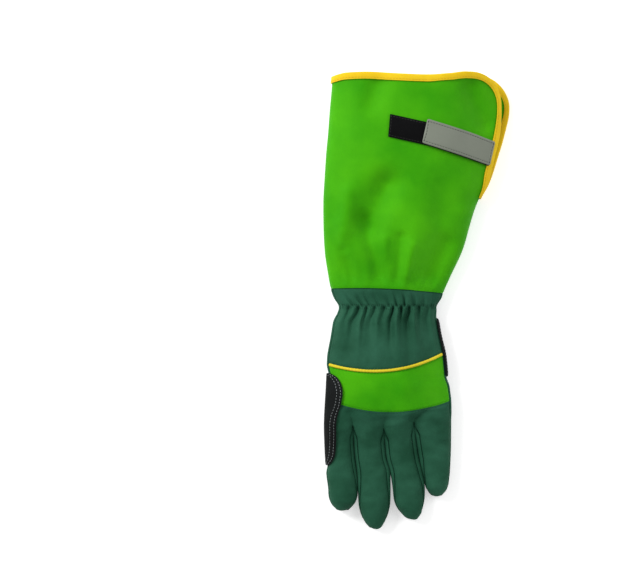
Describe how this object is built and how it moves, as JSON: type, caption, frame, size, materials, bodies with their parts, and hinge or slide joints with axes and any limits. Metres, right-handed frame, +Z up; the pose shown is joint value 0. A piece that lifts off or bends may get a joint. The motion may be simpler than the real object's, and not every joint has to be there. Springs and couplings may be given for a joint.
{
  "type": "rose pruning gauntlet",
  "caption": "Long garden glove for the left hand, lying palm down: wide cuff with a bound slit and a closing strap, gathered wrist, patched palm and fingertips.",
  "frame": {"origin": "middle of the footprint, on the surface that it lies on", "axes": "+Z up from the palm to the back of the hand, +Y from the fingers to the mouth of the cuff, +X to the little finger side"},
  "size_m": [0.1702, 0.4188, 0.0424],
  "materials": {
    "bright_cloth": "woven cotton, matt",
    "dark_cloth": "soft knitted cloth, matt",
    "yellow_tape": "woven tape, satin",
    "black_suede": "synthetic suede, matt",
    "grey_tab": "reflective fabric, satin"
  },
  "bodies": {
    "root": {"cuff": "bright_cloth", "knuckle_panel": "bright_cloth", "wrist_panel": "dark_cloth", "finger_backs": "dark_cloth", "palm": "dark_cloth", "gusset_index_middle": "dark_cloth", "gusset_middle_ring": "dark_cloth", "gusset_ring_little": "dark_cloth", "thumb": "dark_cloth", "cuff_binding": "yellow_tape", "piping": "yellow_tape", "heel_patch": "black_suede", "ball_patch": "black_suede", "root_patch": "black_suede", "index_patch": "black_suede", "cap_index": "black_suede", "cap_middle": "black_suede", "cap_ring": "black_suede", "cap_little": "black_suede", "cap_thumb": "black_suede", "strap_pad": "black_suede", "strap_tab": "grey_tab"}
  },
  "joints": []
}
